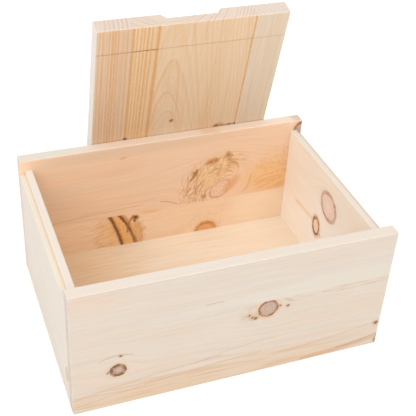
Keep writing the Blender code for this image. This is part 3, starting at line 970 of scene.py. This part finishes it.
def lid(frames):
    board = frames["lid"]
    low, _ = local_box("lid_left_board", board)
    _, high = local_box("lid_right_board", board)

    def put(node, pine, eased, grown, seed):
        thing = lid_board(node, board, eased, grown, seed)
        # The lid's planed sides get a pale, greyish painted highlight.
        dress(thing, "lid", pine.finish(low, high, LID_SIDE_HIGHLIGHT, LID_SIDE_HIGHLIGHT_SHARE))

    tone = Tone((0.69, 0.51, 0.365), (0.61, 0.34, 0.145), (0.68, 0.45, 0.275), 0.4)
    rings = Rings(-130.0, 40.0, 0.0, 0.0, 6.2, 0.35)
    pine = Pine("pine_lid_left", board, tone, rings, lean=(0.0, 0.9), seed=61.3)
    lid_stripes(pine, (
        (4.0, 5.0, 2.2, 0.50), (10.0, 10.0, 2.8, 0.60), (15.0, 15.5, 1.8, 0.40), (19.5, 19.5, 2.6, 0.60),
        (24.5, 24.0, 2.8, 0.80), (28.5, 28.3, 2.6, 0.80), (33.0, 32.5, 2.4, 0.60), (40.0, 41.0, 2.0, 0.40),
        (45.5, 46.0, 2.6, 0.50), (53.6, 53.6, 3.6, 1.0),
    ))
    saw_line(pine, 0.55)
    pine.speck(222, 53.0, 3.4)
    put("lid_left_board", pine, (True, False), (0.0, SEAM_CLOSE), 11.0)

    tone = Tone((0.735, 0.55, 0.375), (0.65, 0.38, 0.16), (0.73, 0.50, 0.31), 0.3)
    rings = Rings(136.0, 35.0, -0.05, 0.084, 4.8, 0.35)
    knots = (Knot(248, 128, 3.0, 2.6, 0, 1.2, (0.26, 0.10, 0.035), (0.36, 0.16, 0.06), 0.6),)
    pine = Pine("pine_lid_middle", board, tone, rings, knots, (0.1, 0.6), 70.2)
    pine.zone(220, 73, 320, 22, (0.74, 0.49, 0.26), 0.5)
    lid_stripes(pine, (
        (54.9, 54.9, 2.4, 0.90), (58.0, 60.0, 2.6, 0.65), (63.0, 65.3, 2.6, 0.70), (67.0, 70.5, 2.8, 0.75),
        (72.0, 76.0, 3.2, 0.90), (77.0, 82.0, 2.8, 0.75), (86.5, 91.5, 5.4, 1.0), (87.0, 91.0, 3.0, 0.5),
        (239.7, 239.7, 3.0, 1.0), (240.2, 240.2, 1.6, 0.8),
        (183.0, 186.0, 1.8, 0.50), (187.0, 190.5, 1.6, 0.40), (191.0, 194.5, 1.6, 0.35),
        (196.0, 199.0, 1.4, 0.35), (200.5, 203.0, 1.4, 0.25), (146.0, 146.0, 1.6, 0.22),
    ))
    draw(
        pine.arch,
        (374, 119, 5.0, 3.0, LATE_WOOD, 0.38, 150.0, 0.08),
        (340, 117, 6.4, 2.0, LATE_WOOD, 0.20, 120.0, 0.02),
        (310, 114, 9.0, 3.2, LATE_WOOD, 0.42, 100.0, -0.06),
        (290, 116, 9.4, 2.0, LATE_WOOD, 0.22, 80.0, 0.0),
        (270, 119, 10.0, 2.6, LATE_WOOD, 0.35, 60.0, 0.05),
        (426, 124, 3.4, 2.4, LATE_WOOD, 0.14, 120.0, 0.14),
    )
    pine.zone(222, 212, 7, 11, (0.50, 0.26, 0.11), 0.7)
    pine.streak((221, 214), (222, 241), 2.4, (0.34, 0.15, 0.06), 0.7, 0.0, 1.3)
    draw(
        pine.speck,
        (221, 207, 5.0, (0.26, 0.11, 0.05), 0.75),
        (221, 230, 4.0, (0.30, 0.13, 0.06), 0.6),
        (221, 241, 3.4),
        (221, 54.6, 3.4),
    )
    pine.mark_knots()
    saw_line(pine, 0.35)
    # Painted shade: a darker dash in the saw line's groove.
    pine.streak((397.4, 56), (397.4, 92), 2.0, (0.34, 0.16, 0.06), 0.7, 0.0, 1.4)
    put("lid_middle_board", pine, (False, False), (SEAM_CLOSE, SEAM_CLOSE), 12.0)

    tone = Tone((0.69, 0.565, 0.43), (0.64, 0.46, 0.31), (0.69, 0.52, 0.375), 0.4)
    pine = Pine("pine_lid_right", board, tone, Rings(360.0, 60.0, 0.1, 0.03, 6.5, 0.22), seed=83.5)
    pine.flecks(240, 268, 260, 26, -2, (0.62, 0.44, 0.28), 0.4, (120.0, 4.0))
    saw_line(pine, 0.25)
    put("lid_right_board", pine, (False, True), (SEAM_CLOSE, 0.0), 13.0)


def dowels():
    """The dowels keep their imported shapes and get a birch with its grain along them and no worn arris."""
    tone = Tone((0.66, 0.50, 0.34), (0.60, 0.42, 0.26), (0.66, 0.46, 0.30), 0.3)
    board = board_frame(Vector((0, 0, 0)), Y_AXIS, X_AXIS, Z_AXIS)
    low, high = Vector((-1, -1, -1)), Vector((1, 1, 1))
    birch = Pine("birch", board, tone, Rings(20.0, 400.0, 0.0, 0.0, 2.0, 0.4), seed=90.0).finish(low, high)
    for name, node in frame["nodes"].items():
        if "dowel" in name:
            node.data.materials.clear()
            node.data.materials.append(birch)


def board_frames():
    """The frame of each panel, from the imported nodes."""
    front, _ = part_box("front_lower_board")
    back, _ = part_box("back_lower_board")
    left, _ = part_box("left_end_panel")
    right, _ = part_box("right_end_panel")
    _, floor_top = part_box("floor_middle_board")
    lift = Vector(frame["joints"][0]["axis"]).normalized()
    outward = lift.cross(X_AXIS)
    corners = [vertex.co for vertex in frame["nodes"]["lid_left_board"].data.vertices]
    foot = lift * min(corner.dot(lift) for corner in corners)
    foot += outward * min(corner.dot(outward) for corner in corners)
    foot.x = min(corner.x for corner in corners)
    return {
        "front": board_frame(Vector((0, front.y, 0)), X_AXIS, Z_AXIS, Y_AXIS),
        "back": board_frame(Vector((0, back.y, 0)), X_AXIS, Z_AXIS, Y_AXIS),
        "right": board_frame(Vector((right.x, 0, 0)), Y_AXIS, Z_AXIS, X_AXIS),
        "left": board_frame(Vector((left.x, 0, 0)), Y_AXIS, Z_AXIS, X_AXIS),
        "floor": board_frame(Vector((0, 0, floor_top.z)), X_AXIS, Y_AXIS, -Z_AXIS),
        "lid": board_frame(foot, lift, X_AXIS, outward),
    }


# ==== stage, light and camera
def stage():
    made = bmesh.new()
    bmesh.ops.create_grid(made, x_segments=FLOOR_CELLS, y_segments=FLOOR_CELLS, size=FLOOR_HALF)
    thing = settled("studio_floor", made)
    thing.location.z = -FLOOR_DROP
    material = bpy.data.materials.new("pale_floor")
    material.use_nodes = True
    tree = material.node_tree
    shader = tree.nodes["Principled BSDF"]
    coordinates = tree.nodes.new("ShaderNodeTexCoord")
    cloudy = tree.nodes.new("ShaderNodeTexNoise")
    cloudy.inputs["Scale"].default_value = FLOOR_CLOUD
    tree.links.new(coordinates.outputs["Object"], cloudy.inputs["Vector"])
    colour = blended(tree, *FLOOR_COLOURS, cloudy.outputs[0])
    tree.links.new(colour, shader.inputs["Base Color"])
    shader.inputs["Roughness"].default_value = FLOOR_ROUGHNESS
    thing.data.materials.append(material)


def softbox(name, place, size, power):
    lamp = bpy.data.lights.new(name, "AREA")
    lamp.shape = "SQUARE"
    lamp.size = size
    lamp.energy = power
    thing = placed(name, lamp)
    thing.location = place
    thing.rotation_euler = (LAMP_AIM - place).to_track_quat("-Z", "Y").to_euler()


def light():
    """A pale studio, brighter round the horizon, with a soft key from the left, a top lamp and a fill."""
    world = bpy.data.worlds.new("studio")
    world.use_nodes = True
    tree = world.node_tree
    sky = tree.nodes["Background"]
    sky.inputs["Color"].default_value = (1.0, 1.0, 1.0, 1.0)
    direction = tree.nodes.new("ShaderNodeTexCoord")
    height = tree.nodes.new("ShaderNodeSeparateXYZ")
    tree.links.new(direction.outputs["Generated"], height.inputs[0])
    strength = ramp(Field(height.outputs["Z"]), *HORIZON_REACH, HORIZON_STRENGTH, ZENITH_STRENGTH)
    plug(tree, sky.inputs["Strength"], strength)
    bpy.context.scene.world = world
    softbox("key", KEY_PLACE, KEY_SIZE, KEY_POWER)
    softbox("top", TOP_PLACE, TOP_SIZE, TOP_POWER)
    softbox("fill", FILL_PLACE, FILL_SIZE, FILL_POWER)
    bpy.context.scene.view_settings.view_transform = "Standard"


def camera():
    lens = bpy.data.cameras.new("camera")
    lens.lens = CAMERA_LENS
    lens.clip_start = CAMERA_CLIP
    thing = placed("camera", lens)
    flat = math.cos(CAMERA_ELEVATION)
    away = Vector((
        math.sin(CAMERA_AZIMUTH) * flat,
        -math.cos(CAMERA_AZIMUTH) * flat,
        math.sin(CAMERA_ELEVATION),
    ))
    turn = (-away).to_track_quat("-Z", "Y").to_matrix().to_4x4()
    place = Matrix.Translation(CAMERA_AIM + away * CAMERA_DISTANCE)
    thing.matrix_world = place @ turn @ Matrix.Rotation(CAMERA_ROLL, 4, "Z")
    bpy.context.scene.camera = thing


# ==== the whole
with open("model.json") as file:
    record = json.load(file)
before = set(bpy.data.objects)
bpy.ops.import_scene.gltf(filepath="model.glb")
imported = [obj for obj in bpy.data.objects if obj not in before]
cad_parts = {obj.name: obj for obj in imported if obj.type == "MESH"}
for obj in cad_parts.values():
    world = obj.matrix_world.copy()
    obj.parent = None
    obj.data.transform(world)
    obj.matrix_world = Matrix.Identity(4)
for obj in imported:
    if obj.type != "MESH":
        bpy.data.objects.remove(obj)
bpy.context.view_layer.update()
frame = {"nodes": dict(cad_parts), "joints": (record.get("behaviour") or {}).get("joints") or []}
camera()
light()
stage()
panels = board_frames()
front_panel(panels)
back_panel(panels)
end_panels(panels)
floor_boards(panels)
lid(panels)
dowels()
